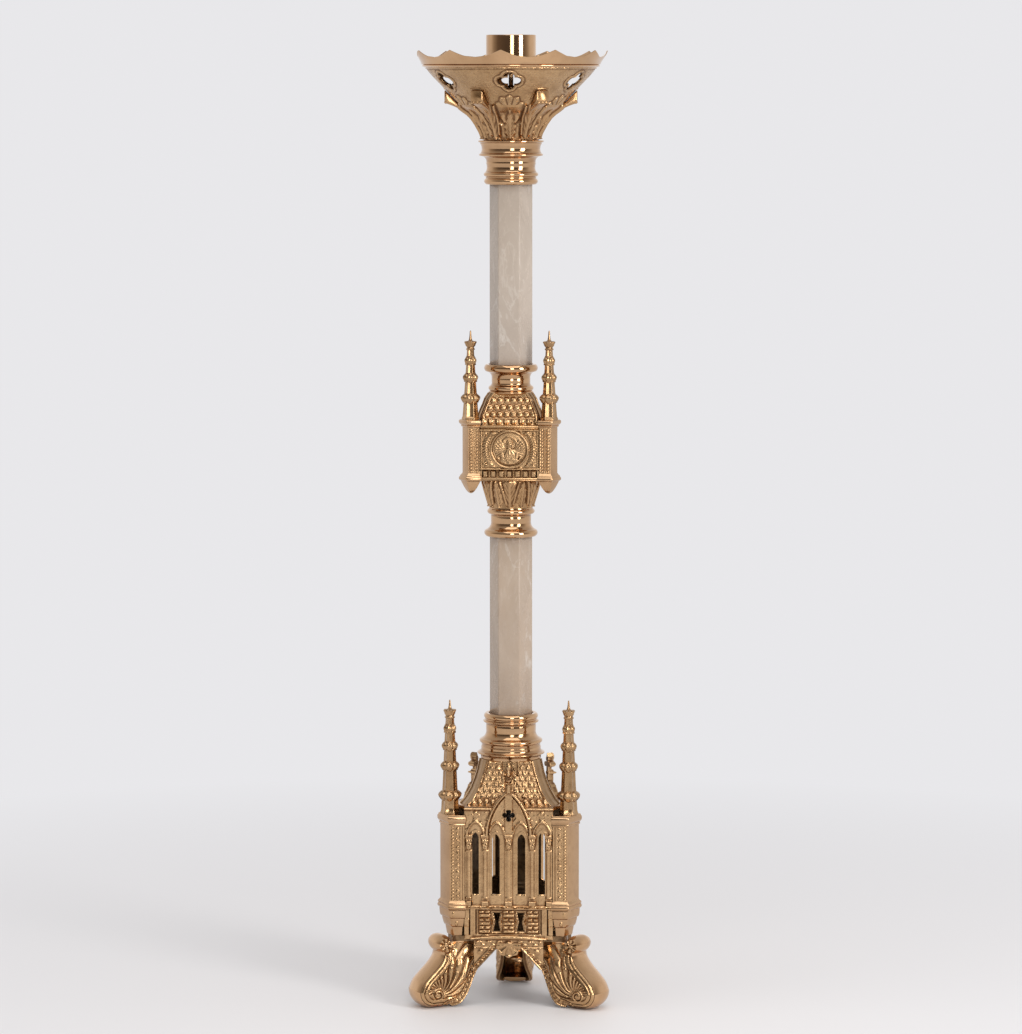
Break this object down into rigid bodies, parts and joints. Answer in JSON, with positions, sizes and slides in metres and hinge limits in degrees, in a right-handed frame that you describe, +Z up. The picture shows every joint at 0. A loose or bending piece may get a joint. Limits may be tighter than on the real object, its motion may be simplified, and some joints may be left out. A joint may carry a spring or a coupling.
{
  "type": "altar candlestick",
  "caption": "Tall Gothic altar candlestick in brass and onyx: scroll feet, pierced tower base, hexagonal stone shafts, box knop, pierced bowl, scalloped wax pan and candle socket.",
  "frame": {"origin": "on the candlestick's axis, in the plane its feet stand on", "axes": "+Z up the axis to the candle socket's mouth; -Y is the front, the normal of the front tracery panel"},
  "size_m": [0.2254, 0.2276, 1.063],
  "materials": {
    "polished_brass": "polished and lacquered",
    "cast_brass": "cast and chased, satin, darker in the recesses",
    "onyx": "polished onyx marble, clouded, with pale veins",
    "steel": "plain zinc-bright steel",
    "leather": "cut leather washer"
  },
  "bodies": {
    "stand": {"base_collar": "polished_brass", "base_pinnacle_left": "cast_brass", "base_pinnacle_rear": "cast_brass", "base_pinnacle_right": "cast_brass", "base_plate": "polished_brass", "base_roof": "cast_brass", "bottom_nut": "steel", "bottom_washer": "steel", "bowl": "cast_brass", "capital_bell": "cast_brass", "capital_collar": "polished_brass", "corner_bolts": "steel", "corner_pier_left": "cast_brass", "corner_pier_rear": "cast_brass", "corner_pier_right": "cast_brass", "foot_left": "cast_brass", "foot_rear": "cast_brass", "foot_right": "cast_brass", "foot_screws": "steel", "knop_cup": "cast_brass", "knop_dome": "cast_brass", "knop_floor": "polished_brass", "knop_lower_collar": "polished_brass", "knop_panel_front": "cast_brass", "knop_panel_left": "cast_brass", "knop_panel_right": "cast_brass", "knop_pier_left": "cast_brass", "knop_pier_rear": "cast_brass", "knop_pier_right": "cast_brass", "knop_pier_screws": "steel", "knop_pinnacle_left": "cast_brass", "knop_pinnacle_rear": "cast_brass", "knop_pinnacle_right": "cast_brass", "knop_top_plate": "polished_brass", "knop_upper_collar": "polished_brass", "lower_shaft": "onyx", "lower_shaft_bottom_washer": "leather", "lower_shaft_top_washer": "leather", "medallion_front": "cast_brass", "medallion_left": "cast_brass", "medallion_right": "cast_brass", "panel_screws": "steel", "tie_rod": "steel", "top_nut": "steel", "top_washer": "steel", "tracery_panel_front": "cast_brass", "tracery_panel_left": "cast_brass", "tracery_panel_right": "cast_brass", "upper_shaft": "onyx", "upper_shaft_bottom_washer": "leather", "upper_shaft_top_washer": "leather"},
    "wax_pan": {"wax_pan": "polished_brass"},
    "candle_socket": {"candle_socket": "polished_brass"}
  },
  "joints": [
    {"name": "wax_pan_lift", "type": "slide", "parent": "stand", "child": "wax_pan", "axis": [0, 0, 1], "range_m": [0, 0.06]},
    {"name": "candle_socket_lift", "type": "slide", "parent": "stand", "child": "candle_socket", "axis": [0, 0, 1], "range_m": [0, 0.08]}
  ]
}
